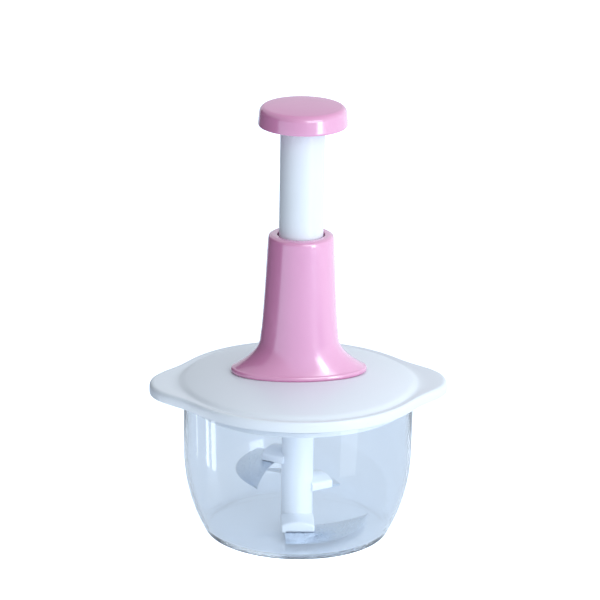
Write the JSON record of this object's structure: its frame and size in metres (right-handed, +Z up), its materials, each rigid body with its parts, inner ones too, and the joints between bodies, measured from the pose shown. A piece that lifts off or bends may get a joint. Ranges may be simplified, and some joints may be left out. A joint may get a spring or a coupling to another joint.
{
  "type": "plunger food chopper",
  "caption": "Hand food chopper: a clear bowl under an eared lid, with a bell-shaped housing and a sprung knob whose press drives sickle blades through a twisted strip.",
  "frame": {"origin": "middle of the bowl's foot, on the surface that it stands on", "axes": "+Z up along the plunger, X along the lid's two ears, Y across them"},
  "size_m": [0.2046, 0.1724, 0.3024],
  "materials": {
    "clear_plastic": "clear, polished, faint blue",
    "white_plastic": "white, semi-gloss",
    "pink_plastic": "pink, glossy",
    "inner_plastic": "natural, satin",
    "steel": "stainless, ground",
    "spring_steel": "drawn wire",
    "seal": "translucent, soft"
  },
  "bodies": {
    "bowl": {"bowl": "clear_plastic", "pivot_pin": "steel"},
    "lid": {"lid": "white_plastic", "lid_seal": "seal", "bell_housing": "pink_plastic", "guide_bush": "inner_plastic", "return_spring": "spring_steel", "spring_seat": "steel", "hub_cover": "white_plastic", "thrust_washer": "steel", "cover_screw_1": "steel", "cover_screw_2": "steel", "cover_screw_3": "steel", "bell_screw_1": "steel", "bell_screw_2": "steel", "bell_screw_3": "steel", "bell_screw_4": "steel"},
    "plunger": {"plunger_tube": "white_plastic", "knob": "pink_plastic", "strip_holder": "inner_plastic", "anchor_pin": "steel", "drive_strip": "steel"},
    "nut": {"drive_nut": "inner_plastic"},
    "hub": {"output_hub": "inner_plastic", "clutch_spring": "spring_steel"},
    "ratchet": {"ratchet_ring": "inner_plastic"},
    "blades": {"blade_shaft": "white_plastic", "blade_upper": "steel", "blade_middle": "steel", "blade_lower": "steel"}
  },
  "joints": [
    {"name": "lid_lift", "type": "slide", "parent": "bowl", "child": "lid", "axis": [0, 0, 1], "range_m": [0, 0.12]},
    {"name": "plunger_slide", "type": "slide", "parent": "lid", "child": "plunger", "axis": [0, 0, -1], "range_m": [0, 0.07], "stiffness_N_per_m": 100, "springref_m": -0.05, "deforming": ["return_spring"]},
    {"name": "nut_spin", "type": "hinge", "parent": "lid", "child": "nut", "pos_m": [0, 0, 0.108], "axis": [0, 0, -1], "range_deg": [0, 630]},
    {"name": "hub_spin", "type": "hinge", "parent": "lid", "child": "hub", "pos_m": [0, 0, 0.096], "axis": [0, 0, -1], "range_deg": [0, 630]},
    {"name": "blade_spin", "type": "hinge", "parent": "bowl", "child": "blades", "pos_m": [0, 0, 0.013], "axis": [0, 0, -1], "range_deg": [0, 630]},
    {"name": "clutch_release", "type": "slide", "parent": "hub", "child": "ratchet", "axis": [0, 0, -1], "range_m": [0, 0.0013], "stiffness_N_per_m": 300, "springref_m": -0.002, "deforming": ["clutch_spring"]}
  ],
  "couplings": [
    {"joint": "nut_spin", "follows": "plunger_slide", "rad_per_m": 157.08},
    {"joint": "hub_spin", "follows": "plunger_slide", "rad_per_m": 157.08},
    {"joint": "blade_spin", "follows": "plunger_slide", "rad_per_m": 157.08}
  ]
}
